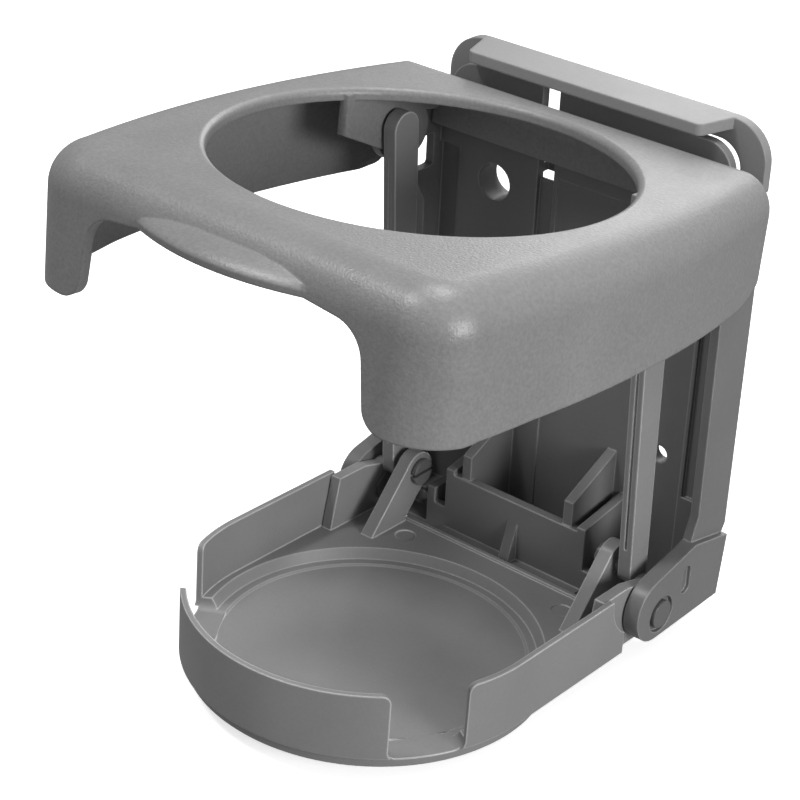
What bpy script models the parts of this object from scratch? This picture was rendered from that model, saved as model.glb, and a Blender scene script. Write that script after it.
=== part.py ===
"""Folding wall-mounted cup holder: a rigid frame, a cup ring, a cup tray and two links."""
import math

import bmesh
import bpy
from mathutils import Matrix, Vector

MM = 0.001

# Design coordinates are millimetres from the centre of the cup hole (X right, -Y front, Z up).
# The finished part sits with its origin at the middle of the wall face.
SHIFT = Vector((0.0, -57.5, 53.0))

# Pivots as (y, z); the pins run along X.
RING_PIVOT = (37.2, -15.2)
TRAY_PIVOT = (33.9, -96.4)
LINK_TOP = (31.5, -12.5)
LINK_LOW = (34.8, -89.7)

RING_TILT = math.radians(5.0)
TRAY_TILT = math.radians(2.0)
TRAY_ORIGIN = (0.0, -10.0, -99.0)

CUP_R = 38.5
RING_FRONT, RING_REAR = -51.5, 50.0
RING_TOP_R = 8.0
RING_WALL = 2.2
PLATE_T = 2.4
LIP_HALF = 20.5
LEG_IN = 32.2
TOE_R = 4.5

TRAY_R = 36.7
TRAY_WALL = 1.2
TRAY_RIM = 11.9
RECESS_R = 34.0
RECESS_DEPTH = 2.0
DISH_DEPTH = 5.0
NOTCH_FLOOR = -1.95
NOTCH_HALF = 7.5
NOTCH_TURN = math.radians(58.25)

ARM_IN, ARM_OUT = 35.6, 37.6
EAR_OUT = 39.0
CHEEK_IN, CHEEK_OUT = 33.0, 35.0
LINK_IN, LINK_OUT = 29.2, 32.2
GUSSET_IN, GUSSET_OUT = 24.5, 27.5

PIN_R = 2.4
TRAY_PIN_R = 3.0
RUN_GAP = 0.08
SEGMENTS = 32


def material(name, colour, roughness):
    mat = bpy.data.materials.new(name)
    mat.use_nodes = True
    shader = mat.node_tree.nodes["Principled BSDF"]
    shader.inputs["Base Color"].default_value = (*colour, 1.0)
    shader.inputs["Roughness"].default_value = roughness
    return mat


def mesh_object(name, bm):
    bmesh.ops.remove_doubles(bm, verts=bm.verts, dist=0.0005)
    bmesh.ops.recalc_face_normals(bm, faces=bm.faces)
    mesh = bpy.data.meshes.new(name)
    bm.to_mesh(mesh)
    bm.free()
    obj = bpy.data.objects.new(name, mesh)
    bpy.context.scene.collection.objects.link(obj)
    return obj


def loft(name, loops):
    """Close a stack of equal-length point loops into one solid."""
    bm = bmesh.new()
    rings = [[bm.verts.new(p) for p in loop] for loop in loops]
    count = len(rings[0])
    for low, high in zip(rings, rings[1:]):
        for i in range(count):
            j = (i + 1) % count
            bm.faces.new((low[i], low[j], high[j], high[i]))
    bm.faces.new(list(reversed(rings[0])))
    bm.faces.new(rings[-1])
    return mesh_object(name, bm)


def slab_x(outline, x0, x1, name="slab"):
    """Extrude a (y, z) outline along X."""
    return loft(name, [[(x, y, z) for y, z in outline] for x in (x0, x1)])


def slab_y(outline, y0, y1, name="slab"):
    """Extrude an (x, z) outline along Y."""
    return loft(name, [[(x, y, z) for x, z in outline] for y in (y0, y1)])


def slab_z(outline, z0, z1, name="slab"):
    """Extrude an (x, y) outline along Z."""
    return loft(name, [[(x, y, z) for x, y in outline] for z in (z0, z1)])


def circle(u, v, r, count=SEGMENTS, start=0.0, sweep=360.0):
    closed = 0 if sweep >= 360.0 else 1
    steps = count - closed
    angles = [math.radians(start + sweep * i / steps) for i in range(count)]
    return [(u + r * math.cos(a), v + r * math.sin(a)) for a in angles]


def box(x0, x1, y0, y1, z0, z1):
    return slab_z([(x0, y0), (x1, y0), (x1, y1), (x0, y1)], z0, z1)


def rounded(points, radii, steps=5):
    """Round the corners of a closed outline, one radius per corner."""
    result = []
    count = len(points)
    for i, point in enumerate(points):
        here = Vector(point)
        before = Vector(points[i - 1]) - here
        after = Vector(points[(i + 1) % count]) - here
        radius = radii[i] if isinstance(radii, (list, tuple)) else radii
        if radius <= 0.0:
            result.append(tuple(here))
            continue
        half = before.angle(after) / 2.0
        reach = radius / math.tan(half)
        centre = here + (before.normalized() + after.normalized()).normalized() * radius / math.sin(half)
        first = here + before.normalized() * reach - centre
        last = here + after.normalized() * reach - centre
        a0 = math.atan2(first.y, first.x)
        a1 = math.atan2(last.y, last.x)
        turn = (a1 - a0 + math.pi) % (2.0 * math.pi) - math.pi
        for k in range(steps + 1):
            a = a0 + turn * k / steps
            result.append((centre.x + radius * math.cos(a), centre.y + radius * math.sin(a)))
    return result


def apply_boolean(target, tool, operation):
    tool.hide_render = True
    tool.display_type = "WIRE"
    mod = target.modifiers.new("cut", "BOOLEAN")
    mod.operation = operation
    mod.solver = "EXACT"
    mod.object = tool
    graph = bpy.context.evaluated_depsgraph_get()
    mesh = bpy.data.meshes.new_from_object(target.evaluated_get(graph))
    target.modifiers.clear()
    old = target.data
    target.data = mesh
    bpy.data.meshes.remove(old)
    bpy.data.objects.remove(tool)


def add(target, *tools):
    for tool in tools:
        apply_boolean(target, tool, "UNION")


def cut(target, *tools):
    for tool in tools:
        apply_boolean(target, tool, "DIFFERENCE")


def both_sides(make, x0, x1):
    """The same slab on the left and on the right."""
    return make(x0, x1), make(-x1, -x0)


def tidy_mesh(obj):
    bm = bmesh.new()
    bm.from_mesh(obj.data)
    bmesh.ops.remove_doubles(bm, verts=bm.verts, dist=0.002)
    bmesh.ops.dissolve_limit(bm, angle_limit=math.radians(0.4), verts=bm.verts, edges=bm.edges)
    bmesh.ops.triangulate(bm, faces=bm.faces)
    bmesh.ops.recalc_face_normals(bm, faces=bm.faces)
    bm.to_mesh(obj.data)
    bm.free()


def finish(obj, name, mat, pivot, tilt=0.0, origin=(0.0, 0.0, 0.0)):
    """Place a finished solid in the part frame with its origin on its pivot."""
    tidy_mesh(obj)
    obj.name = name
    place = Matrix.Translation(Vector(origin) + SHIFT) @ Matrix.Rotation(-tilt, 4, "X")
    hub = Vector((0.0, *pivot)) + SHIFT
    obj.data.transform(Matrix.Scale(MM, 4) @ Matrix.Translation(-hub) @ place)
    obj.location = hub * MM
    obj.data.materials.clear()
    obj.data.materials.append(mat)
    for face in obj.data.polygons:
        face.use_smooth = True
    obj.data.set_sharp_from_angle(angle=math.radians(32.0))
    return obj


def tilted(point, tilt, origin):
    """A (y, z) design point seen in the tilted coordinates of the ring or the tray."""
    y = point[0] - origin[1]
    z = point[1] - origin[2]
    return (y * math.cos(tilt) - z * math.sin(tilt), y * math.sin(tilt) + z * math.cos(tilt))


def ring_width(y):
    return 51.0 - 0.0024 * (y + 3.0) ** 2


def ring_outline(inset, corner_steps=5, side_steps=6):
    """Plan outline of the ring cover, moved inwards by inset."""
    front, rear = RING_FRONT + inset, RING_REAR - inset
    front_r = max(11.0 - inset, 1.5)
    rear_r = max(6.0 - inset, 1.0)
    w_front = ring_width(front + front_r) - inset
    w_rear = ring_width(rear - rear_r) - inset
    right = []
    for k in range(corner_steps + 1):
        a = math.radians(-90.0 + 90.0 * k / corner_steps)
        right.append((w_front - front_r + front_r * math.cos(a), front + front_r + front_r * math.sin(a)))
    for k in range(1, side_steps):
        y = front + front_r + (rear - rear_r - front - front_r) * k / side_steps
        right.append((ring_width(y) - inset, y))
    for k in range(corner_steps + 1):
        a = math.radians(90.0 * k / corner_steps)
        right.append((w_rear - rear_r + rear_r * math.cos(a), rear - rear_r + rear_r * math.sin(a)))
    return right + [(-x, y) for x, y in reversed(right)]


def ring_shell():
    """The dished cover: a plate with a rounded edge and a skirt all round."""
    loops = [[(x, y, -30.0) for x, y in ring_outline(0.0)]]
    for k in range(6):
        a = math.radians(18.0 * k)
        inset = RING_TOP_R * (1.0 - math.cos(a))
        z = -RING_TOP_R + RING_TOP_R * math.sin(a)
        loops.append([(x, y, z) for x, y in ring_outline(inset)])
    shell = loft("shell", loops)
    inner = [[(x, y, -34.0) for x, y in ring_outline(RING_WALL)]]
    bend = RING_TOP_R - RING_WALL
    for k in range(6):
        a = math.radians(18.0 * k)
        inset = RING_WALL + bend * (1.0 - math.cos(a))
        z = -PLATE_T - bend + bend * math.sin(a)
        inner.append([(x, y, z) for x, y in ring_outline(inset)])
    cut(shell, loft("inner", inner))
    return shell


def cup_hole():
    """Round cutter that also rounds the upper edge of the hole."""
    loops = [[(x, y, -6.0) for x, y in circle(0, 0, CUP_R, 64)]]
    for k in range(5):
        a = math.radians(22.5 * k)
        r = CUP_R + 1.3 * (1.0 - math.cos(a))
        loops.append([(x, y, -1.3 + 1.31 * math.sin(a)) for x, y in circle(0, 0, r, 64)])
    loops.append([(x, y, 1.0) for x, y in circle(0, 0, CUP_R + 1.5, 64)])
    return loft("hole", loops)


def finger_lip():
    """Lens-shaped lip on the front face, for pulling the ring down."""
    arc = [(x, -51.0 - 4.3 * (1.0 - (x / LIP_HALF) ** 2)) for x in [LIP_HALF * k / 8.0 for k in range(-8, 9)]]
    back = [(LIP_HALF - 2.0, -47.0), (2.0 - LIP_HALF, -47.0)]
    loops = []
    for z, shrink in ((-8.6, 0.9), (-8.0, 0.2), (-6.8, 0.0), (-5.9, 0.5), (-4.9, 2.2), (-4.2, 4.2)):
        front = [(x * (1.0 - 0.02 * shrink), min(y + shrink, -49.8)) for x, y in arc]
        loops.append([(x, y, z) for x, y in front + back])
    return loft("lip", loops)


def ring_cutters():
    notch = rounded([(-34.6, -40.0), (-30.6, -9.4), (-18.0, -8.0), (18.0, -8.0), (30.6, -9.4), (34.6, -40.0)],
                    [0.0, 6.5, 8.0, 8.0, 6.5, 0.0])
    cutters = [slab_y(notch, -60.0, -41.0)]
    skirt = [(-70.0, -26.0), (-44.0, -26.0), (-28.0, -24.8), (0.0, -24.0), (38.0, -23.6)]
    skirt += [(43.0, -22.6), (46.5, -20.6), (49.0, -17.6), (70.0, -17.6), (70.0, -50.0), (-70.0, -50.0)]
    cutters.append(slab_x(skirt, -70.0, 70.0))
    rear = rounded([(-44.0, -60.0), (-44.0, -12.6), (44.0, -12.6), (44.0, -60.0)], [0.0, 3.0, 3.0, 0.0])
    cutters.append(slab_y(rear, 42.0, 60.0))
    for side in (-1, 1):
        x0, x1 = sorted((side * 35.1, side * 38.1))
        cutters.append(box(x0, x1, 45.0, 60.0, -20.0, -6.8))
        toe = circle(side * (LEG_IN + TOE_R), -26.0 + TOE_R, TOE_R, 7, 270.0, -90.0 * side)
        edge = toe + [(side * (LEG_IN - 2.0), -26.0 + TOE_R), (side * (LEG_IN - 2.0), -28.0)]
        cutters.append(slab_y(edge + [(side * (LEG_IN + TOE_R), -28.0)], -60.0, -41.0))
    return cutters


def cheek_outline():
    """Side plate under the ring that carries the ring pivot and the upper link pin."""
    pivot = tilted(RING_PIVOT, RING_TILT, (0, 0, 0))
    boss = circle(pivot[0], pivot[1], 5.6, 14, -125.0, 165.0)
    return [(18.0, -1.2), (18.0, -9.4)] + boss + [(46.5, -9.0), (48.6, -6.0), (46.0, -2.6), (43.0, -1.2)]


def build_ring(mat):
    ring = ring_shell()
    cut(ring, cup_hole())
    add(ring, finger_lip())
    cut(ring, *ring_cutters())
    outline = cheek_outline()
    add(ring, *both_sides(lambda a, b: slab_x(outline, a, b), CHEEK_IN, CHEEK_OUT))
    pivot = tilted(RING_PIVOT, RING_TILT, (0, 0, 0))
    upper = tilted(LINK_TOP, RING_TILT, (0, 0, 0))
    for side in (-1, 1):
        x0, x1 = sorted((side * 30.5, side * 36.5))
        cut(ring, slab_x(circle(*pivot, PIN_R + RUN_GAP), x0, x1))
        cut(ring, slab_x(circle(*upper, 2.0, 20), x0, x1))
    return finish(ring, "ring_cover", mat, RING_PIVOT, RING_TILT)


def tray_outline(radius, back, steps=24):
    """U-shaped plan outline: a half circle in front and straight sides to the back."""
    arc = circle(0.0, 0.0, radius, steps + 1, 180.0, 180.0)
    return arc + [(radius, back), (-radius, back)]


def tray_solid():
    body = slab_z(tray_outline(TRAY_R, 42.3), -1.8, TRAY_RIM)
    cut(body, slab_z(tray_outline(TRAY_R - TRAY_WALL, 60.0), 0.0, 30.0))
    dish = loft("dish", [[(x, y, z) for x, y in circle(0.0, 0.2, r, 48)]
                         for z, r in ((-DISH_DEPTH, 34.2), (-4.6, 35.1), (-4.0, 35.7), (-1.0, 36.1))])
    add(body, dish)
    cut(body, loft("recess", [[(x, y, z) for x, y in circle(0.0, 1.4, r, 48)]
                              for z, r in ((-RECESS_DEPTH, 32.6), (0.01, RECESS_R), (1.0, RECESS_R))]))
    cut(body, loft("centre", [[(x, y, z) for x, y in circle(0.0, 1.4, r, 40)]
                              for z, r in ((-RECESS_DEPTH - 0.35, 30.4), (-RECESS_DEPTH + 0.1, 31.0))]))
    return body


def tray_back_cut():
    """Everything above the shelf behind the hollow that clears the housing ears."""
    hollow = circle(39.5, 11.5, 9.8, 8, 180.0, 60.0)
    return slab_x([(29.7, 40.0)] + hollow + [(34.6, 0.0), (60.0, 0.0), (60.0, 40.0)], -50.0, 50.0)


def tray_notches():
    """Openings in the tray wall that let the links pass when everything is folded."""
    half, bend, flare = NOTCH_HALF, 2.0, 1.6
    corners = [(-half, 5.0), (-half, NOTCH_FLOOR), (half, NOTCH_FLOOR), (half, 5.0)]
    profile = rounded(corners, [0.0, bend, bend, 0.0])
    profile += circle(half + flare, TRAY_RIM - flare, flare, 6, 180.0, -90.0)
    profile += [(half + flare, 20.0), (-half - flare, 20.0)]
    profile += circle(-half - flare, TRAY_RIM - flare, flare, 6, 90.0, -90.0)
    cutters = []
    for side in (-1, 1):
        notch = slab_y(profile, -42.0, -32.4)
        notch.data.transform(Matrix.Rotation(side * NOTCH_TURN, 4, "Z"))
        cutters.append(notch)
        x0, x1 = sorted((side * 35.2, side * 50.0))
        cutters.append(box(x0, x1, 34.6, 60.0, -20.0, 20.0))
    return cutters


def gusset_outline():
    low = tilted(LINK_LOW, TRAY_TILT, TRAY_ORIGIN)
    tip = circle(low[0], low[1], 4.2, 10, -20.0, 155.0)
    return [(41.0, -1.0), (41.0, 1.0)] + tip + [(30.0, 0.2), (29.4, -1.0)]


def lug_outline():
    pivot = tilted(TRAY_PIVOT, TRAY_TILT, TRAY_ORIGIN)
    boss = circle(pivot[0], pivot[1], 6.3, 14, -60.0, 165.0)
    return boss + [(36.5, 11.6), (28.5, 11.6), (26.0, -1.0), (40.0, -1.0)]


def build_tray(mat):
    tray = tray_solid()
    cut(tray, tray_back_cut(), *tray_notches())
    gusset = gusset_outline()
    lug = lug_outline()
    add(tray, *both_sides(lambda a, b: slab_x(gusset, a, b), GUSSET_IN, GUSSET_OUT))
    add(tray, *both_sides(lambda a, b: slab_x(lug, a, b), 32.8, 35.2))
    add(tray, box(-24.8, 24.8, 41.3, 42.3, -0.5, 0.6))
    low = tilted(LINK_LOW, TRAY_TILT, TRAY_ORIGIN)
    pivot = tilted(TRAY_PIVOT, TRAY_TILT, TRAY_ORIGIN)
    for side in (-1, 1):
        cut(tray, slab_z(circle(side * 20.5, 36.2, 2.2, 20), -0.2, 1.0))
        x0, x1 = sorted((side * 22.0, side * 29.0))
        cut(tray, slab_x(circle(*low, 2.0, 20), x0, x1))
        x0, x1 = sorted((side * 30.0, side * 36.8))
        cut(tray, slab_x(circle(*pivot, TRAY_PIN_R + RUN_GAP), x0, x1))
    return finish(tray, "tray", mat, TRAY_PIVOT, TRAY_TILT, TRAY_ORIGIN)


def build_plate(mat):
    """Open rectangular frame that goes against the wall."""
    right = [(35.2, -100.0), (35.2, -14.5), (37.7, -13.0), (37.7, 0.3)]
    corners = right + [(-x, z) for x, z in reversed(right)]
    outline = rounded(corners, [5.0, 0.5, 0.5, 8.0, 8.0, 0.5, 0.5, 5.0])
    plate = slab_y(outline, 55.3, 57.5)
    for half, z0, z1 in ((32.4, -47.0, -4.4), (31.8, -94.0, -59.0)):
        window = rounded([(-half, z0), (half, z0), (half, z1), (-half, z1)], 5.5)
        cut(plate, slab_y(window, 50.0, 60.0))
    visor = [(-27.4, 47.4), (27.4, 47.4), (30.0, 56.0), (-30.0, 56.0)]
    add(plate, slab_z(rounded(visor, [1.5, 1.5, 0.0, 0.0]), -2.0, 0.3))
    return finish(plate, "mounting_plate", mat, (57.5, -53.0))


def arm_outline():
    """Side wall of the housing with the upper hinge arm and the lower ear."""
    lobe = circle(*RING_PIVOT, 7.0, 12, 75.0, 200.0)
    nose = circle(32.3, -94.6, 6.8, 12, 100.0, 170.0)
    wall = [(45.9, -34.0), (46.6, -80.0), (44.7, -85.2)]
    tail = [(54.7, -101.4), (56.3, -87.8), (57.3, -86.0), (57.3, -15.4), (50.0, -13.6), (46.0, -11.5)]
    return lobe + [(44.0, -30.5)] + wall + nose + tail


def ear_outline():
    nose = circle(32.3, -94.6, 6.8, 12, 100.0, 170.0)
    return [(44.7, -85.2)] + nose + [(54.7, -101.4), (56.3, -87.8)]


def build_housing(mat):
    right = [(30.4, -103.0), (30.4, -101.0), (35.7, -101.0), (35.7, -15.5), (33.4, -14.0), (33.4, -3.4)]
    corners = right + [(-x, z) for x, z in reversed(right)]
    radii = [0.0, 0.0, 0.0, 1.0, 1.0, 6.0, 6.0, 1.0, 1.0, 0.0, 0.0, 0.0]
    housing = slab_y(rounded(corners, radii), 50.5, 52.5)
    cut(housing, box(-5.6, 29.8, 50.0, 50.8, -105.0, -21.5))
    rim = slab_y(rounded([(-33.4, -99.0), (33.4, -99.0), (33.4, -20.0), (-33.4, -20.0)], 2.0), 51.0, 54.9)
    cut(rim, slab_y(rounded([(-31.4, -97.0), (31.4, -97.0), (31.4, -22.0), (-31.4, -22.0)], 2.0), 50.0, 56.0))
    add(housing, rim)
    side = arm_outline()
    ear = ear_outline()
    add(housing, *both_sides(lambda a, b: slab_x(side, a, b), ARM_IN, ARM_OUT))
    add(housing, *both_sides(lambda a, b: slab_x(ear, a, b), ARM_IN + 0.5, EAR_OUT))
    add(housing, box(-18.0, 18.0, 36.0, 38.0, -103.0, -88.0))
    add(housing, box(-18.0, 18.0, 33.0, 52.0, -103.0, -101.2))
    add(housing, box(-30.4, 30.4, 36.0, 52.0, -103.0, -101.9))
    add(housing, *both_sides(lambda a, b: box(a, b, 44.6, 51.0, -102.4, -100.4), 30.0, 35.8))
    add(housing, *both_sides(lambda a, b: box(a, b, 40.9, 51.0, -102.5, -101.5), 28.0, 35.8))
    add(housing, *both_sides(lambda a, b: box(a, b, 36.0, 37.8, -102.5, -96.5), 17.5, 22.8))
    add(housing, *both_sides(lambda a, b: box(a, b, 36.0, 42.0, -102.5, -93.0), 20.8, 22.8))
    rib = [(36.5, -101.8), (36.5, -82.5), (51.0, -76.0), (51.0, -101.8)]
    add(housing, *both_sides(lambda a, b: slab_x(rib, a, b), 12.0, 14.2))
    end_rib = [(36.0, -101.5), (36.0, -87.0), (51.0, -85.0), (51.0, -101.5)]
    add(housing, *both_sides(lambda a, b: slab_x(end_rib, a, b), 16.0, 18.0))
    add(housing, slab_x([(36.3, -91.5), (33.4, -100.0), (33.4, -102.0), (36.3, -102.0)], -1.2, 1.2))
    for x, z, r, rear in ((21.3, -27.0, 5.4, 56.6), (24.3, -72.6, 3.2, 53.6)):
        add(housing, slab_y(circle(x, z, r, 28), 52.0, rear), slab_y(circle(-x, z, r, 28), 52.0, rear))
    cut(housing, *housing_cutters())
    return finish(housing, "back_housing", mat, (52.0, -53.0))


def housing_cutters():
    cutters = []
    window = rounded([(41.4, -26.8), (48.4, -26.8), (48.4, -19.6), (41.4, -19.6)], 0.8, 3)
    cutters.append(box(-10.6, -6.6, 49.0, 54.0, -23.1, 0.0))
    cutters.append(box(-10.6, -6.6, 49.0, 51.6, -36.0, -22.0))
    for side in (-1, 1):
        cutters.append(slab_y(circle(side * 21.3, -27.0, 4.0, 28), 49.0, 58.0))
        cutters.append(slab_y(circle(side * 24.3, -72.6, 1.9, 20), 49.0, 58.0))
        x0, x1 = sorted((side * 30.6, side * 35.6))
        cutters.append(box(x0, x1, 50.0, 51.4, -80.0, -22.0))
        x0, x1 = sorted((side * 35.0, side * 39.5))
        cutters.append(slab_x(window, x0, x1))
        cutters.append(slab_x(circle(*RING_PIVOT, PIN_R, 24), x0, x1))
        cutters.append(slab_x(circle(*TRAY_PIVOT, TRAY_PIN_R, 24), x0, x1))
        x0, x1 = sorted((side * 38.0, side * 39.5))
        cutters.append(slab_x(circle(*TRAY_PIVOT, TRAY_PIN_R + 0.95, 28), x0, x1))
        slot = rounded([(40.6, -95.2), (43.4, -95.2), (43.4, -89.0), (40.6, -89.0)], 1.3, 4)
        x0, x1 = sorted((side * 38.2, side * 39.5))
        cutters.append(slab_x(slot, x0, x1))
    return cutters


def build_link(side, mat):
    top, low = LINK_TOP, LINK_LOW
    upper = circle(top[0], top[1], 3.6, 14, 5.0, 170.0)
    lower = circle(low[0], low[1], 2.9, 14, 185.0, 170.0)
    outline = upper + lower
    x0, x1 = sorted((side * LINK_IN, side * LINK_OUT))
    link = slab_x(outline, x0, x1)
    x0, x1 = sorted((side * (LINK_IN + 1.2), side * (LINK_IN + 1.75)))
    groove = [(27.5, -18.0), (28.25, -18.0), (32.25, -84.0), (31.5, -84.0)]
    cut(link, slab_x(groove, x0, x1))
    x0, x1 = sorted((side * (LINK_IN + 0.7), side * (LINK_OUT + 1)))
    cut(link, slab_x(circle(*top, 1.85 + RUN_GAP, 20), x0, x1))
    x0, x1 = sorted((side * (LINK_IN - 1), side * (LINK_OUT - 0.8)))
    cut(link, slab_x(circle(*low, 1.6, 20), x0, x1))
    name = "link_left" if side < 0 else "link_right"
    return finish(link, name, mat, LINK_TOP)


def pin(name, pivot, side, steps, mat, split=0.0):
    """Turned pin: steps are (x from, x to, radius) working outwards from the middle plane."""
    body = None
    for x0, x1, radius in steps:
        a, b = sorted((side * x0, side * x1))
        part = slab_x(circle(*pivot, radius, 24), a, b)
        if body is None:
            body = part
        else:
            add(body, part)
    if split > 0.0:
        a, b = sorted((side * (steps[0][0] - 1.0), side * (steps[0][1] + 0.6)))
        cut(body, box(a, b, pivot[0] - 6.0, pivot[0] + 6.0, pivot[1] - 0.35, pivot[1] + 0.35))
    return finish(body, name, mat, pivot)


def build_pins(mat):
    for side, word in ((-1, "left"), (1, "right")):
        pin("ring_pin_" + word, RING_PIVOT, side,
            [(32.6, 35.2, PIN_R), (35.0, 37.9, PIN_R - 0.02)], mat)
        pin("tray_pin_" + word, TRAY_PIVOT, side,
            [(32.4, 35.3, TRAY_PIN_R), (35.2, 39.3, TRAY_PIN_R - 0.02)], mat)
        pin("link_upper_pin_" + word, LINK_TOP, side,
            [(LINK_IN + 0.9, 32.9, 1.85), (32.8, 35.2, 1.98)], mat)
        pin("link_lower_pin_" + word, LINK_LOW, side,
            [(23.2, 24.3, 2.9), (24.2, 28.6, 1.98)], mat, 0.35)


def clear_scene():
    for obj in list(bpy.data.objects):
        bpy.data.objects.remove(obj)


def main():
    clear_scene()
    cover = material("cover_grey", (0.30, 0.30, 0.31), 0.55)
    frame = material("frame_grey", (0.27, 0.27, 0.28), 0.60)
    inner = material("inner_grey", (0.20, 0.20, 0.21), 0.50)
    moving = material("tray_grey", (0.28, 0.28, 0.29), 0.55)
    pins = material("pin_grey", (0.17, 0.17, 0.18), 0.45)
    build_plate(frame)
    build_housing(inner)
    build_ring(cover)
    build_tray(moving)
    build_link(-1, moving)
    build_link(1, moving)
    build_pins(pins)


main()
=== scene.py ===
"""Looks for the folding cup holder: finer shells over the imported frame, materials, light and camera."""
import math

import bmesh
import bpy
from mathutils import Matrix, Vector


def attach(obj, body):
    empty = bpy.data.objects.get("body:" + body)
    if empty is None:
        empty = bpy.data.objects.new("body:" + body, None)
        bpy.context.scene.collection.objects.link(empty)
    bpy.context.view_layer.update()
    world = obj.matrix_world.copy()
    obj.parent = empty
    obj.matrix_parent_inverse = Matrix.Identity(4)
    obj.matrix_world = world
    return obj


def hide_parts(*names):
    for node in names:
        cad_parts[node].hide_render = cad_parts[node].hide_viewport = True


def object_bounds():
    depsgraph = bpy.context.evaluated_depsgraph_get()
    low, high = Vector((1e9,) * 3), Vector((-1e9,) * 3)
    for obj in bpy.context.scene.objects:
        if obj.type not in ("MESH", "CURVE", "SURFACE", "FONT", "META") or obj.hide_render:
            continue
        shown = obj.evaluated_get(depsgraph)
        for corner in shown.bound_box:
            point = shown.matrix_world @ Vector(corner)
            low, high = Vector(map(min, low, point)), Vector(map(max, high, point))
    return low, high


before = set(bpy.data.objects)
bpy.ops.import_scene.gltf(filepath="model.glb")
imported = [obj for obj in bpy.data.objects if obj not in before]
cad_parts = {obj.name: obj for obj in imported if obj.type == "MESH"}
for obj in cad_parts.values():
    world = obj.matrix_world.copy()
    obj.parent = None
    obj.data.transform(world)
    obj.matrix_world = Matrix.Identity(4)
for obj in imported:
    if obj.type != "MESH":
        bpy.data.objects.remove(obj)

CAD_BOX = [[float(v) for v in corner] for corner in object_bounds()]

MM = 0.001

# Design coordinates are millimetres from the centre of the cup hole (X right, -Y front, Z up).
# The finished part sits with its origin at the middle of the wall face.
SHIFT = Vector((0.0, -57.5, 53.0))

# Pivots as (y, z); the pins run along X.
RING_PIVOT = (37.2, -15.2)
TRAY_PIVOT = (33.9, -96.4)
LINK_TOP = (31.5, -12.5)
LINK_LOW = (34.8, -89.7)

RING_TILT = math.radians(5.0)
TRAY_TILT = math.radians(2.0)
TRAY_ORIGIN = (0.0, -10.0, -99.0)

CUP_R = 38.5
RING_FRONT, RING_REAR = -51.5, 50.0
RING_TOP_R = 8.0
RING_WALL = 2.2
PLATE_T = 2.4
LIP_HALF = 20.5
LEG_IN = 32.2
TOE_R = 4.5

TRAY_R = 36.7
TRAY_WALL = 1.2
TRAY_RIM = 11.9
RECESS_R = 34.0
RECESS_DEPTH = 2.0
DISH_DEPTH = 5.0
CENTRE_DEPTH = RECESS_DEPTH + 0.35
NOTCH_FLOOR = 0.02 - CENTRE_DEPTH
NOTCH_HALF = 7.5
NOTCH_TURN = math.radians(58.25)

ARM_IN, ARM_OUT = 35.6, 37.6
EAR_OUT = 39.0
CHEEK_IN, CHEEK_OUT = 33.0, 35.0
LINK_IN, LINK_OUT = 29.2, 32.2
GUSSET_IN, GUSSET_OUT = 24.5, 27.5

PIN_R = 2.4
TRAY_PIN_R = 3.0
RUN_GAP = 0.08
SEGMENTS = 72
SHARP_ANGLE = math.radians(34.0)

# The finer curves of the ring would stand 0.05 mm past the CAD's facets.
RING_FIT = (0.9989, 1.0, 0.9984, 1.0)

# World strength high and low, then the power of each area light.
WORLD, WORLD_LOW = 0.35, 0.26
KEY, TOP, SIDE, BACK = 2.6, 3.3, 4.6, 2.2

# Camera: azimuth, elevation and roll in degrees, then the point looked at and its distance in metres.
CAMERA_TURN = (38.88, 28.79, 2.55)
CAMERA_AIM = Vector((-0.00061, -0.06169, 0.00409))
CAMERA_DISTANCE = 0.4231
FLOOR_HALF = 6.0
FLOOR_DROP = 0.0003

# Each piece's CAD body and material slot; its CAD node has the piece's own name.
PIECES = {
    "mounting_plate": ("frame", "frame_grey"),
    "back_housing": ("frame", "inner_grey"),
    "ring_cover": ("ring", "cover_grey"),
    "tray": ("tray", "tray_grey"),
    "link_left": ("link_left", "tray_grey"),
    "link_right": ("link_right", "tray_grey"),
    "ring_pin_left": ("frame", "pin_grey"),
    "ring_pin_right": ("frame", "pin_grey"),
    "tray_pin_left": ("frame", "pin_grey"),
    "tray_pin_right": ("frame", "pin_grey"),
    "link_upper_pin_left": ("ring", "pin_grey"),
    "link_upper_pin_right": ("ring", "pin_grey"),
    "link_lower_pin_left": ("tray", "pin_grey"),
    "link_lower_pin_right": ("tray", "pin_grey"),
}


def mesh_object(name, bm):
    bmesh.ops.remove_doubles(bm, verts=bm.verts, dist=0.0005)
    bmesh.ops.recalc_face_normals(bm, faces=bm.faces)
    mesh = bpy.data.meshes.new(name)
    bm.to_mesh(mesh)
    bm.free()
    obj = bpy.data.objects.new(name, mesh)
    bpy.context.scene.collection.objects.link(obj)
    return obj


def loft(name, loops):
    """Close a stack of equal-length point loops into one solid."""
    bm = bmesh.new()
    rings = [[bm.verts.new(p) for p in loop] for loop in loops]
    count = len(rings[0])
    for low, high in zip(rings, rings[1:]):
        for i in range(count):
            j = (i + 1) % count
            bm.faces.new((low[i], low[j], high[j], high[i]))
    bm.faces.new(list(reversed(rings[0])))
    bm.faces.new(rings[-1])
    return mesh_object(name, bm)


def slab_x(outline, x0, x1, name="slab"):
    """Extrude a (y, z) outline along X."""
    return loft(name, [[(x, y, z) for y, z in outline] for x in (x0, x1)])


def slab_y(outline, y0, y1, name="slab"):
    """Extrude an (x, z) outline along Y."""
    return loft(name, [[(x, y, z) for x, z in outline] for y in (y0, y1)])


def slab_z(outline, z0, z1, name="slab"):
    """Extrude an (x, y) outline along Z."""
    return loft(name, [[(x, y, z) for x, y in outline] for z in (z0, z1)])


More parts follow.
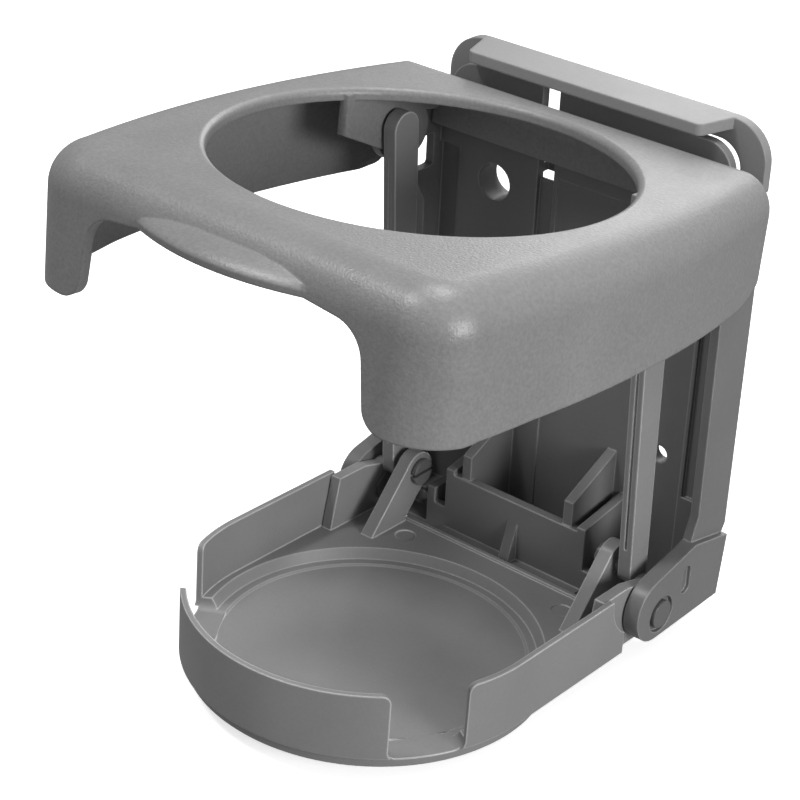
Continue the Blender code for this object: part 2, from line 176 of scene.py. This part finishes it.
def circle(u, v, r, count=SEGMENTS, start=0.0, sweep=360.0):
    closed = 0 if sweep >= 360.0 else 1
    steps = count - closed
    angles = [math.radians(start + sweep * i / steps) for i in range(count)]
    return [(u + r * math.cos(a), v + r * math.sin(a)) for a in angles]


def box(x0, x1, y0, y1, z0, z1):
    return slab_z([(x0, y0), (x1, y0), (x1, y1), (x0, y1)], z0, z1)


def rounded(points, radii, steps=10):
    """Round the corners of a closed outline, one radius per corner."""
    result = []
    count = len(points)
    for i, point in enumerate(points):
        here = Vector(point)
        before = Vector(points[i - 1]) - here
        after = Vector(points[(i + 1) % count]) - here
        radius = radii[i] if isinstance(radii, (list, tuple)) else radii
        if radius <= 0.0:
            result.append(tuple(here))
            continue
        half = before.angle(after) / 2.0
        reach = radius / math.tan(half)
        centre = here + (before.normalized() + after.normalized()).normalized() * radius / math.sin(half)
        first = here + before.normalized() * reach - centre
        last = here + after.normalized() * reach - centre
        a0 = math.atan2(first.y, first.x)
        a1 = math.atan2(last.y, last.x)
        turn = (a1 - a0 + math.pi) % (2.0 * math.pi) - math.pi
        for k in range(steps + 1):
            a = a0 + turn * k / steps
            result.append((centre.x + radius * math.cos(a), centre.y + radius * math.sin(a)))
    return result


def apply_boolean(target, tool, operation):
    tool.hide_render = True
    tool.display_type = "WIRE"
    mod = target.modifiers.new("cut", "BOOLEAN")
    mod.operation = operation
    mod.solver = "EXACT"
    mod.object = tool
    graph = bpy.context.evaluated_depsgraph_get()
    mesh = bpy.data.meshes.new_from_object(target.evaluated_get(graph))
    target.modifiers.clear()
    old = target.data
    target.data = mesh
    bpy.data.meshes.remove(old)
    bpy.data.objects.remove(tool)


def add(target, *tools):
    for tool in tools:
        apply_boolean(target, tool, "UNION")


def cut(target, *tools):
    for tool in tools:
        apply_boolean(target, tool, "DIFFERENCE")


def both_sides(make, x0, x1):
    """The same slab on the left and on the right."""
    return make(x0, x1), make(-x1, -x0)


def tidy_mesh(obj):
    bm = bmesh.new()
    bm.from_mesh(obj.data)
    bmesh.ops.remove_doubles(bm, verts=bm.verts, dist=0.002)
    bmesh.ops.dissolve_limit(bm, angle_limit=math.radians(0.4), verts=bm.verts, edges=bm.edges)
    bmesh.ops.triangulate(bm, faces=bm.faces)
    bmesh.ops.recalc_face_normals(bm, faces=bm.faces)
    bm.to_mesh(obj.data)
    bm.free()


def finish(obj, name, mat, pivot, tilt=0.0, origin=(0.0, 0.0, 0.0)):
    """Place a finished solid where its CAD node is, with its look, riding on its CAD body."""
    tidy_mesh(obj)
    body, slot_name = PIECES[name]
    obj.name = name + "_shell"
    place = Matrix.Translation(Vector(origin) + SHIFT) @ Matrix.Rotation(-tilt, 4, "X")
    hub = Vector((0.0, *pivot)) + SHIFT
    obj.data.transform(Matrix.Scale(MM, 4) @ Matrix.Translation(-hub) @ place)
    if name == "ring_cover":
        obj.data.transform(Matrix.Diagonal(RING_FIT))
    obj.location = hub * MM
    obj.data.materials.clear()
    obj.data.materials.append(mat)
    for face in obj.data.polygons:
        face.use_smooth = True
    obj.data.set_sharp_from_angle(angle=SHARP_ANGLE)
    weighted = obj.modifiers.new("normals", "WEIGHTED_NORMAL")
    weighted.keep_sharp = True
    weighted.weight = 80
    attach(obj, body)
    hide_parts(name)
    return obj


def tilted(point, tilt, origin):
    """A (y, z) design point seen in the tilted coordinates of the ring or the tray."""
    y = point[0] - origin[1]
    z = point[1] - origin[2]
    return (y * math.cos(tilt) - z * math.sin(tilt), y * math.sin(tilt) + z * math.cos(tilt))


def ring_width(y):
    return 51.0 - 0.0024 * (y + 3.0) ** 2


def ring_outline(inset, corner_steps=16, side_steps=16):
    """Plan outline of the ring cover, moved inwards by inset."""
    front, rear = RING_FRONT + inset, RING_REAR - inset
    front_r = max(11.0 - inset, 1.5)
    rear_r = max(6.0 - inset, 1.0)
    w_front = ring_width(front + front_r) - inset
    w_rear = ring_width(rear - rear_r) - inset
    right = []
    for k in range(corner_steps + 1):
        a = math.radians(-90.0 + 90.0 * k / corner_steps)
        right.append((w_front - front_r + front_r * math.cos(a), front + front_r + front_r * math.sin(a)))
    for k in range(1, side_steps):
        y = front + front_r + (rear - rear_r - front - front_r) * k / side_steps
        right.append((ring_width(y) - inset, y))
    for k in range(corner_steps + 1):
        a = math.radians(90.0 * k / corner_steps)
        right.append((w_rear - rear_r + rear_r * math.cos(a), rear - rear_r + rear_r * math.sin(a)))
    return right + [(-x, y) for x, y in reversed(right)]


def ring_shell():
    """The dished cover: a plate with a rounded edge and a skirt all round."""
    loops = [[(x, y, -30.0) for x, y in ring_outline(0.0)]]
    for k in range(19):
        a = math.radians(5.0 * k)
        inset = RING_TOP_R * (1.0 - math.cos(a))
        z = -RING_TOP_R + RING_TOP_R * math.sin(a)
        loops.append([(x, y, z) for x, y in ring_outline(inset)])
    shell = loft("shell", loops)
    inner = [[(x, y, -34.0) for x, y in ring_outline(RING_WALL)]]
    bend = RING_TOP_R - RING_WALL
    for k in range(10):
        a = math.radians(10.0 * k)
        inset = RING_WALL + bend * (1.0 - math.cos(a))
        z = -PLATE_T - bend + bend * math.sin(a)
        inner.append([(x, y, z) for x, y in ring_outline(inset)])
    cut(shell, loft("inner", inner))
    return shell


def cup_hole():
    """Round cutter that also rounds the upper edge of the hole."""
    loops = [[(x, y, -6.0) for x, y in circle(0, 0, CUP_R, 180)]]
    for k in range(10):
        a = math.radians(10.0 * k)
        r = CUP_R + 1.3 * (1.0 - math.cos(a))
        loops.append([(x, y, -1.3 + 1.31 * math.sin(a)) for x, y in circle(0, 0, r, 180)])
    loops.append([(x, y, 1.0) for x, y in circle(0, 0, CUP_R + 1.5, 180)])
    return loft("hole", loops)


def finger_lip():
    """Lens-shaped lip on the front face, for pulling the ring down."""
    across = [LIP_HALF * k / 24.0 for k in range(-24, 25)]
    arc = [(x, -51.0 - 4.3 * (1.0 - (x / LIP_HALF) ** 2)) for x in across]
    back = [(LIP_HALF - 2.0, -47.0), (2.0 - LIP_HALF, -47.0)]
    loops = []
    for z, shrink in ((-8.6, 0.9), (-8.0, 0.2), (-6.8, 0.0), (-5.9, 0.5), (-4.9, 2.2), (-4.2, 4.2)):
        front = [(x * (1.0 - 0.02 * shrink), min(y + shrink, -49.8)) for x, y in arc]
        loops.append([(x, y, z) for x, y in front + back])
    return loft("lip", loops)


def ring_cutters():
    notch = rounded([(-34.6, -40.0), (-30.6, -9.4), (-18.0, -8.0), (18.0, -8.0), (30.6, -9.4), (34.6, -40.0)],
                    [0.0, 6.5, 8.0, 8.0, 6.5, 0.0])
    cutters = [slab_y(notch, -60.0, -41.0)]
    skirt = [(-70.0, -26.0), (-44.0, -26.0), (-28.0, -24.8), (0.0, -24.0), (38.0, -23.6)]
    skirt += [(43.0, -22.6), (46.5, -20.6), (49.0, -17.6), (70.0, -17.6), (70.0, -50.0), (-70.0, -50.0)]
    cutters.append(slab_x(skirt, -70.0, 70.0))
    rear = rounded([(-44.0, -60.0), (-44.0, -12.6), (44.0, -12.6), (44.0, -60.0)], [0.0, 3.0, 3.0, 0.0])
    cutters.append(slab_y(rear, 42.0, 60.0))
    for side in (-1, 1):
        x0, x1 = sorted((side * 35.1, side * 38.1))
        cutters.append(box(x0, x1, 45.0, 60.0, -20.0, -6.8))
        toe = circle(side * (LEG_IN + TOE_R), -26.0 + TOE_R, TOE_R, 24, 270.0, -90.0 * side)
        edge = toe + [(side * (LEG_IN - 2.0), -26.0 + TOE_R), (side * (LEG_IN - 2.0), -28.0)]
        cutters.append(slab_y(edge + [(side * (LEG_IN + TOE_R), -28.0)], -60.0, -41.0))
    return cutters


def cheek_outline():
    """Side plate under the ring that carries the ring pivot and the upper link pin."""
    pivot = tilted(RING_PIVOT, RING_TILT, (0, 0, 0))
    boss = circle(pivot[0], pivot[1], 5.6, 40, -125.0, 165.0)
    return [(18.0, -1.2), (18.0, -9.4)] + boss + [(46.5, -9.0), (48.6, -6.0), (46.0, -2.6), (43.0, -1.2)]


def build_ring(mat):
    ring = ring_shell()
    cut(ring, cup_hole())
    add(ring, finger_lip())
    cut(ring, *ring_cutters())
    outline = cheek_outline()
    add(ring, *both_sides(lambda a, b: slab_x(outline, a, b), CHEEK_IN, CHEEK_OUT))
    pivot = tilted(RING_PIVOT, RING_TILT, (0, 0, 0))
    upper = tilted(LINK_TOP, RING_TILT, (0, 0, 0))
    for side in (-1, 1):
        x0, x1 = sorted((side * 30.5, side * 36.5))
        cut(ring, slab_x(circle(*pivot, PIN_R + RUN_GAP), x0, x1))
        cut(ring, slab_x(circle(*upper, 2.0, 20), x0, x1))
    return finish(ring, "ring_cover", mat, RING_PIVOT, RING_TILT)


def tray_outline(radius, back, steps=96):
    """U-shaped plan outline: a half circle in front and straight sides to the back."""
    arc = circle(0.0, 0.0, radius, steps + 1, 180.0, 180.0)
    return arc + [(radius, back), (-radius, back)]


def tray_solid():
    body = slab_z(tray_outline(TRAY_R, 42.3), -1.8, TRAY_RIM)
    cut(body, slab_z(tray_outline(TRAY_R - TRAY_WALL, 60.0), 0.0, 30.0))
    dish = loft("dish", [[(x, y, z) for x, y in circle(0.0, 0.2, r, 144)]
                         for z, r in ((-DISH_DEPTH, 34.2), (-4.6, 35.1), (-4.0, 35.7), (-1.0, 36.1))])
    add(body, dish)
    cut(body, loft("recess", [[(x, y, z) for x, y in circle(0.0, 1.4, r, 144)]
                              for z, r in ((-RECESS_DEPTH, 32.6), (0.01, RECESS_R), (1.0, RECESS_R))]))
    cut(body, loft("centre", [[(x, y, z) for x, y in circle(0.0, 1.4, r, 144)]
                              for z, r in ((-RECESS_DEPTH - 0.35, 30.4), (-RECESS_DEPTH + 0.1, 31.0))]))
    return body


def tray_back_cut():
    """Everything above the shelf behind the hollow that clears the housing ears."""
    hollow = circle(39.5, 11.5, 9.8, 24, 180.0, 60.0)
    return slab_x([(29.7, 40.0)] + hollow + [(34.6, 0.0), (60.0, 0.0), (60.0, 40.0)], -50.0, 50.0)


def tray_notches():
    """Openings in the tray wall that let the links pass when everything is folded."""
    half, bend, flare = NOTCH_HALF, 2.0, 1.6
    corners = [(-half, 5.0), (-half, NOTCH_FLOOR), (half, NOTCH_FLOOR), (half, 5.0)]
    profile = rounded(corners, [0.0, bend, bend, 0.0])
    profile += circle(half + flare, TRAY_RIM - flare, flare, 6, 180.0, -90.0)
    profile += [(half + flare, 20.0), (-half - flare, 20.0)]
    profile += circle(-half - flare, TRAY_RIM - flare, flare, 6, 90.0, -90.0)
    cutters = []
    for side in (-1, 1):
        notch = slab_y(profile, -42.0, -29.6)
        notch.data.transform(Matrix.Rotation(side * NOTCH_TURN, 4, "Z"))
        cutters.append(notch)
        x0, x1 = sorted((side * 35.2, side * 50.0))
        cutters.append(box(x0, x1, 34.6, 60.0, -20.0, 20.0))
    return cutters


def gusset_outline():
    low = tilted(LINK_LOW, TRAY_TILT, TRAY_ORIGIN)
    tip = circle(low[0], low[1], 4.2, 32, -20.0, 155.0)
    return [(41.0, -1.0), (41.0, 1.0)] + tip + [(30.0, 0.2), (29.4, -1.0)]


def lug_outline():
    pivot = tilted(TRAY_PIVOT, TRAY_TILT, TRAY_ORIGIN)
    boss = circle(pivot[0], pivot[1], 6.3, 40, -60.0, 165.0)
    return boss + [(36.5, 11.6), (28.5, 11.6), (26.0, -1.0), (40.0, -1.0)]


def build_tray(mat):
    tray = tray_solid()
    cut(tray, tray_back_cut(), *tray_notches())
    gusset = gusset_outline()
    lug = lug_outline()
    add(tray, *both_sides(lambda a, b: slab_x(gusset, a, b), GUSSET_IN, GUSSET_OUT))
    add(tray, *both_sides(lambda a, b: slab_x(lug, a, b), 32.8, 35.2))
    add(tray, box(-24.8, 24.8, 41.3, 42.3, -0.5, 0.6))
    low = tilted(LINK_LOW, TRAY_TILT, TRAY_ORIGIN)
    pivot = tilted(TRAY_PIVOT, TRAY_TILT, TRAY_ORIGIN)
    for side in (-1, 1):
        cut(tray, slab_z(circle(side * 20.5, 36.2, 2.2, 20), -0.2, 1.0))
        x0, x1 = sorted((side * 22.0, side * 29.0))
        cut(tray, slab_x(circle(*low, 2.0, 20), x0, x1))
        x0, x1 = sorted((side * 30.0, side * 36.8))
        cut(tray, slab_x(circle(*pivot, TRAY_PIN_R + RUN_GAP), x0, x1))
    return finish(tray, "tray", mat, TRAY_PIVOT, TRAY_TILT, TRAY_ORIGIN)


def build_plate(mat):
    """Open rectangular frame that goes against the wall."""
    right = [(35.2, -100.0), (35.2, -14.5), (37.7, -13.0), (37.7, 0.3)]
    corners = right + [(-x, z) for x, z in reversed(right)]
    outline = rounded(corners, [5.0, 0.5, 0.5, 8.0, 8.0, 0.5, 0.5, 5.0])
    plate = slab_y(outline, 55.3, 57.5)
    for half, z0, z1 in ((32.4, -47.0, -4.4), (31.8, -94.0, -59.0)):
        window = rounded([(-half, z0), (half, z0), (half, z1), (-half, z1)], 5.5)
        cut(plate, slab_y(window, 50.0, 60.0))
    visor = [(-27.4, 47.4), (27.4, 47.4), (30.0, 56.0), (-30.0, 56.0)]
    add(plate, slab_z(rounded(visor, [1.5, 1.5, 0.0, 0.0]), -2.0, 0.3))
    return finish(plate, "mounting_plate", mat, (57.5, -53.0))


def arm_outline():
    """Side wall of the housing with the upper hinge arm and the lower ear."""
    lobe = circle(*RING_PIVOT, 7.0, 40, 75.0, 200.0)
    nose = circle(32.3, -94.6, 6.8, 40, 100.0, 170.0)
    wall = [(45.9, -34.0), (46.6, -80.0), (44.7, -85.2)]
    tail = [(54.7, -101.4), (56.3, -87.8), (57.3, -86.0), (57.3, -15.4), (50.0, -13.6), (46.0, -11.5)]
    return lobe + [(44.0, -30.5)] + wall + nose + tail


def ear_outline():
    nose = circle(32.3, -94.6, 6.8, 40, 100.0, 170.0)
    return [(44.7, -85.2)] + nose + [(54.7, -101.4), (56.3, -87.8)]


def build_housing(mat):
    right = [(30.4, -103.0), (30.4, -101.0), (35.7, -101.0), (35.7, -15.5), (33.4, -14.0), (33.4, -3.4)]
    corners = right + [(-x, z) for x, z in reversed(right)]
    radii = [0.0, 0.0, 0.0, 1.0, 1.0, 6.0, 6.0, 1.0, 1.0, 0.0, 0.0, 0.0]
    housing = slab_y(rounded(corners, radii), 50.5, 52.5)
    cut(housing, box(-5.6, 29.8, 50.0, 50.8, -105.0, -21.5))
    rim = slab_y(rounded([(-33.4, -99.0), (33.4, -99.0), (33.4, -20.0), (-33.4, -20.0)], 2.0), 51.0, 54.9)
    cut(rim, slab_y(rounded([(-31.4, -97.0), (31.4, -97.0), (31.4, -22.0), (-31.4, -22.0)], 2.0), 50.0, 56.0))
    add(housing, rim)
    side = arm_outline()
    ear = ear_outline()
    add(housing, *both_sides(lambda a, b: slab_x(side, a, b), ARM_IN, ARM_OUT))
    add(housing, *both_sides(lambda a, b: slab_x(ear, a, b), ARM_IN + 0.5, EAR_OUT))
    add(housing, box(-18.0, 18.0, 36.0, 38.0, -103.0, -88.0))
    add(housing, box(-18.0, 18.0, 33.0, 52.0, -103.0, -101.2))
    add(housing, box(-30.4, 30.4, 36.0, 52.0, -103.0, -101.9))
    add(housing, *both_sides(lambda a, b: box(a, b, 44.6, 51.0, -102.4, -100.4), 30.0, 35.8))
    add(housing, *both_sides(lambda a, b: box(a, b, 40.9, 51.0, -102.5, -101.5), 28.0, 35.8))
    add(housing, *both_sides(lambda a, b: box(a, b, 36.0, 37.8, -102.5, -96.5), 17.5, 22.8))
    add(housing, *both_sides(lambda a, b: box(a, b, 36.0, 42.0, -102.5, -93.0), 20.8, 22.8))
    rib = [(36.5, -101.8), (36.5, -82.5), (51.0, -76.0), (51.0, -101.8)]
    add(housing, *both_sides(lambda a, b: slab_x(rib, a, b), 12.0, 14.2))
    end_rib = [(36.0, -101.5), (36.0, -87.0), (51.0, -85.0), (51.0, -101.5)]
    add(housing, *both_sides(lambda a, b: slab_x(end_rib, a, b), 16.0, 18.0))
    add(housing, slab_x([(36.3, -91.5), (33.4, -100.0), (33.4, -102.0), (36.3, -102.0)], -1.2, 1.2))
    for x, z, r, rear in ((21.3, -27.0, 5.4, 56.6), (24.3, -72.6, 3.2, 53.6)):
        add(housing, slab_y(circle(x, z, r, 28), 52.0, rear), slab_y(circle(-x, z, r, 28), 52.0, rear))
    cut(housing, *housing_cutters())
    return finish(housing, "back_housing", mat, (52.0, -53.0))


def housing_cutters():
    cutters = []
    window = rounded([(41.4, -26.8), (48.4, -26.8), (48.4, -19.6), (41.4, -19.6)], 0.8, 3)
    cutters.append(box(-10.6, -6.6, 49.0, 54.0, -23.1, 0.0))
    cutters.append(box(-10.6, -6.6, 49.0, 51.6, -36.0, -22.0))
    for side in (-1, 1):
        cutters.append(slab_y(circle(side * 21.3, -27.0, 4.0, 28), 49.0, 58.0))
        cutters.append(slab_y(circle(side * 24.3, -72.6, 1.9, 20), 49.0, 58.0))
        x0, x1 = sorted((side * 30.6, side * 35.6))
        cutters.append(box(x0, x1, 50.0, 51.4, -80.0, -22.0))
        x0, x1 = sorted((side * 35.0, side * 39.5))
        cutters.append(slab_x(window, x0, x1))
        cutters.append(slab_x(circle(*RING_PIVOT, PIN_R, 24), x0, x1))
        cutters.append(slab_x(circle(*TRAY_PIVOT, TRAY_PIN_R, 24), x0, x1))
        x0, x1 = sorted((side * 38.0, side * 39.5))
        cutters.append(slab_x(circle(*TRAY_PIVOT, TRAY_PIN_R + 0.95, 28), x0, x1))
        slot = rounded([(40.6, -95.2), (43.4, -95.2), (43.4, -89.0), (40.6, -89.0)], 1.3, 4)
        x0, x1 = sorted((side * 38.2, side * 39.5))
        cutters.append(slab_x(slot, x0, x1))
    return cutters


def build_link(side, mat):
    top, low = LINK_TOP, LINK_LOW
    upper = circle(top[0], top[1], 3.6, 40, 5.0, 170.0)
    lower = circle(low[0], low[1], 2.9, 40, 185.0, 170.0)
    outline = upper + lower
    x0, x1 = sorted((side * LINK_IN, side * LINK_OUT))
    link = slab_x(outline, x0, x1)
    x0, x1 = sorted((side * (LINK_IN + 1.2), side * (LINK_IN + 1.75)))
    groove = [(27.5, -18.0), (28.25, -18.0), (32.25, -84.0), (31.5, -84.0)]
    cut(link, slab_x(groove, x0, x1))
    x0, x1 = sorted((side * (LINK_IN + 0.7), side * (LINK_OUT + 1)))
    cut(link, slab_x(circle(*top, 1.85 + RUN_GAP, 20), x0, x1))
    x0, x1 = sorted((side * (LINK_IN - 1), side * (LINK_OUT - 0.8)))
    cut(link, slab_x(circle(*low, 1.6, 20), x0, x1))
    name = "link_left" if side < 0 else "link_right"
    return finish(link, name, mat, LINK_TOP)


def pin(name, pivot, side, steps, mat, split=0.0):
    """Turned pin: steps are (x from, x to, radius) working outwards from the middle plane."""
    body = None
    for x0, x1, radius in steps:
        a, b = sorted((side * x0, side * x1))
        part = slab_x(circle(*pivot, radius, 64), a, b)
        if body is None:
            body = part
        else:
            add(body, part)
    if split > 0.0:
        a, b = sorted((side * (steps[0][0] - 1.0), side * (steps[0][1] + 0.6)))
        cut(body, box(a, b, pivot[0] - 6.0, pivot[0] + 6.0, pivot[1] - 0.35, pivot[1] + 0.35))
    return finish(body, name, mat, pivot)


def build_pins(mat):
    for side, word in ((-1, "left"), (1, "right")):
        pin("ring_pin_" + word, RING_PIVOT, side,
            [(32.6, 35.2, PIN_R), (35.0, 37.9, PIN_R - 0.02)], mat)
        pin("tray_pin_" + word, TRAY_PIVOT, side,
            [(32.4, 35.3, TRAY_PIN_R), (35.2, 39.3, TRAY_PIN_R - 0.02)], mat)
        pin("link_upper_pin_" + word, LINK_TOP, side,
            [(LINK_IN + 0.9, 32.9, 1.85), (32.8, 35.2, 1.98)], mat)
        pin("link_lower_pin_" + word, LINK_LOW, side,
            [(23.2, 24.3, 2.9), (24.2, 28.6, 1.98)], mat, 0.35)


def plastic(name, value, rough, grain=0.18, edge=0.12, speck=0.05):
    """Moulded plastic: fine grain, blotches of tone and gloss, and edges lightened by a painted highlight
    whose strength is edge.
    """
    mat = bpy.data.materials.new(name)
    mat.use_nodes = True
    tree = mat.node_tree
    nodes, links = tree.nodes, tree.links
    shader = nodes["Principled BSDF"]
    where = nodes.new("ShaderNodeTexCoord")

    def noise(scale, detail):
        tex = nodes.new("ShaderNodeTexNoise")
        tex.inputs["Scale"].default_value = scale
        tex.inputs["Detail"].default_value = detail
        links.new(where.outputs["Object"], tex.inputs["Vector"])
        return tex.outputs["Fac"]

    def span(socket, low, high, src_low=0.3, src_high=0.7):
        node = nodes.new("ShaderNodeMapRange")
        node.inputs["From Min"].default_value = src_low
        node.inputs["From Max"].default_value = src_high
        node.inputs["To Min"].default_value = low
        node.inputs["To Max"].default_value = high
        links.new(socket, node.inputs["Value"])
        return node.outputs["Result"]

    def maths(kind, a, b):
        node = nodes.new("ShaderNodeMath")
        node.operation = kind
        for socket, item in zip(node.inputs, (a, b)):
            if isinstance(item, float):
                socket.default_value = item
            else:
                links.new(item, socket)
        return node.outputs[0]

    blotch = span(noise(45.0, 4.0), value * 0.94, value * 1.06)
    fine = span(noise(1500.0, 2.0), 1.0 - speck, 1.0 + speck)
    tone = maths("MULTIPLY", blotch, fine)
    soft = nodes.new("ShaderNodeBevel")
    soft.samples = 6
    soft.inputs["Radius"].default_value = 0.0006
    geometry = nodes.new("ShaderNodeNewGeometry")
    dot = nodes.new("ShaderNodeVectorMath")
    dot.operation = "DOT_PRODUCT"
    links.new(soft.outputs["Normal"], dot.inputs[0])
    links.new(geometry.outputs["Normal"], dot.inputs[1])
    # Where the bevelled normal turns away from the face, the colour is lightened by up to edge: a painted
    # edge highlight, not wear.
    painted_edge_highlight = span(dot.outputs["Value"], edge, 0.0, 0.80, 0.985)
    tone = maths("MULTIPLY", tone, maths("ADD", painted_edge_highlight, 1.0))
    colour = nodes.new("ShaderNodeCombineColor")
    for channel, tint in zip(("Red", "Green", "Blue"), (1.0, 1.0, 1.01)):
        links.new(maths("MULTIPLY", tone, tint), colour.inputs[channel])
    links.new(colour.outputs["Color"], shader.inputs["Base Color"])
    wide = span(noise(90.0, 3.0), -0.04, 0.04)
    gloss = maths("ADD", wide, span(noise(700.0, 2.0), rough - 0.02, rough + 0.02))
    links.new(gloss, shader.inputs["Roughness"])
    bump = nodes.new("ShaderNodeBump")
    bump.inputs["Strength"].default_value = grain
    bump.inputs["Distance"].default_value = 0.0002
    links.new(noise(2200.0, 3.0), bump.inputs["Height"])
    links.new(soft.outputs["Normal"], bump.inputs["Normal"])
    links.new(bump.outputs["Normal"], shader.inputs["Normal"])
    shader.inputs["IOR"].default_value = 1.5
    return mat


def pale_floor(height):
    """White floor that takes shadows but sends no light back into the holder."""
    mat = bpy.data.materials.new("floor_white")
    mat.use_nodes = True
    shader = mat.node_tree.nodes["Principled BSDF"]
    shader.inputs["Base Color"].default_value = (0.93, 0.93, 0.93, 1.0)
    shader.inputs["Roughness"].default_value = 0.9
    shader.inputs["Specular IOR Level"].default_value = 0.1
    shader.inputs["Emission Color"].default_value = (1.0, 1.0, 1.0, 1.0)
    shader.inputs["Emission Strength"].default_value = 0.62
    mesh = bpy.data.meshes.new("floor")
    corners = [(-1, -1), (1, -1), (1, 1), (-1, 1)]
    mesh.from_pydata([(x * FLOOR_HALF, y * FLOOR_HALF, height) for x, y in corners], [], [(0, 1, 2, 3)])
    obj = bpy.data.objects.new("floor", mesh)
    obj.data.materials.append(mat)
    obj.visible_diffuse = False
    obj.visible_glossy = False
    bpy.context.scene.collection.objects.link(obj)


def area_light(name, place, aim, size, power):
    data = bpy.data.lights.new(name, "AREA")
    data.energy = power
    data.size = size
    obj = bpy.data.objects.new(name, data)
    obj.location = place
    obj.rotation_euler = (Vector(aim) - Vector(place)).to_track_quat("-Z", "Y").to_euler()
    bpy.context.scene.collection.objects.link(obj)


def studio():
    """A world brighter above than below, white to the camera, and four area lights."""
    world = bpy.data.worlds.new("studio")
    world.use_nodes = True
    background = world.node_tree.nodes["Background"]
    background.inputs["Color"].default_value = (1.0, 1.0, 1.0, 1.0)
    tree = world.node_tree
    where = tree.nodes.new("ShaderNodeTexCoord")
    split = tree.nodes.new("ShaderNodeSeparateXYZ")
    ramp = tree.nodes.new("ShaderNodeMapRange")
    ramp.inputs["From Min"].default_value = -0.25
    ramp.inputs["From Max"].default_value = 0.6
    ramp.inputs["To Min"].default_value = WORLD_LOW
    ramp.inputs["To Max"].default_value = WORLD
    tree.links.new(where.outputs["Generated"], split.inputs["Vector"])
    tree.links.new(split.outputs["Z"], ramp.inputs["Value"])
    ray = tree.nodes.new("ShaderNodeLightPath")
    backdrop = tree.nodes.new("ShaderNodeMath")
    backdrop.operation = "MAXIMUM"
    tree.links.new(ramp.outputs["Result"], backdrop.inputs[0])
    tree.links.new(ray.outputs["Is Camera Ray"], backdrop.inputs[1])
    tree.links.new(backdrop.outputs["Value"], background.inputs["Strength"])
    bpy.context.scene.world = world
    aim = (0.0, -0.06, 0.0)
    area_light("key", (-0.26, -0.36, 0.72), aim, 0.16, KEY)
    area_light("top", (-0.04, 0.16, 0.85), aim, 0.14, TOP)
    area_light("side", (0.75, -0.16, 0.20), aim, 0.35, SIDE)
    area_light("back", (-0.25, 0.75, 0.30), aim, 0.5, BACK)
    bpy.context.scene.view_settings.view_transform = "Standard"


def photo_camera():
    """Long lens, looking down from the front right (+X, -Y) of the open holder."""
    azimuth, elevation, roll = (math.radians(v) for v in CAMERA_TURN)
    ahead = -Vector((math.sin(azimuth) * math.cos(elevation), -math.cos(azimuth) * math.cos(elevation),
                     math.sin(elevation)))
    right = Vector((math.cos(azimuth), math.sin(azimuth), 0.0))
    up = right.cross(ahead)
    side = math.cos(roll) * right + math.sin(roll) * up
    top = -math.sin(roll) * right + math.cos(roll) * up
    data = bpy.data.cameras.new("camera")
    data.sensor_width = 36.0
    data.lens = 102.04
    data.shift_x = 0.0071
    data.shift_y = 0.0049
    cam = bpy.data.objects.new("camera", data)
    turn = Matrix((side, top, -ahead)).transposed().to_4x4()
    cam.matrix_world = Matrix.Translation(CAMERA_AIM - ahead * CAMERA_DISTANCE) @ turn
    bpy.context.scene.collection.objects.link(cam)
    bpy.context.scene.camera = cam


def main():
    # Each edge value sets how strongly that material's edges are lightened as a painted highlight.
    cover = plastic("cover_plastic", value=0.225, rough=0.36, grain=0.34, edge=0.15, speck=0.09)
    frame_look = plastic("frame_plastic", value=0.25, rough=0.40, grain=0.14, edge=0.5, speck=0.03)
    # The housing plastic is set darker than the frame plastic as painted shade for its shaded interior.
    inner = plastic("inner_plastic", value=0.165, rough=0.36, grain=0.10, edge=1.2, speck=0.03)
    moving = plastic("tray_plastic", value=0.235, rough=0.38, grain=0.10, edge=1.8, speck=0.03)
    pins = plastic("pin_plastic", value=0.12, rough=0.35, grain=0.08)
    build_plate(frame_look)
    build_housing(inner)
    build_ring(cover)
    build_tray(moving)
    build_link(-1, moving)
    build_link(1, moving)
    build_pins(pins)
    pale_floor(CAD_BOX[0][2] - FLOOR_DROP)
    studio()
    photo_camera()


main()
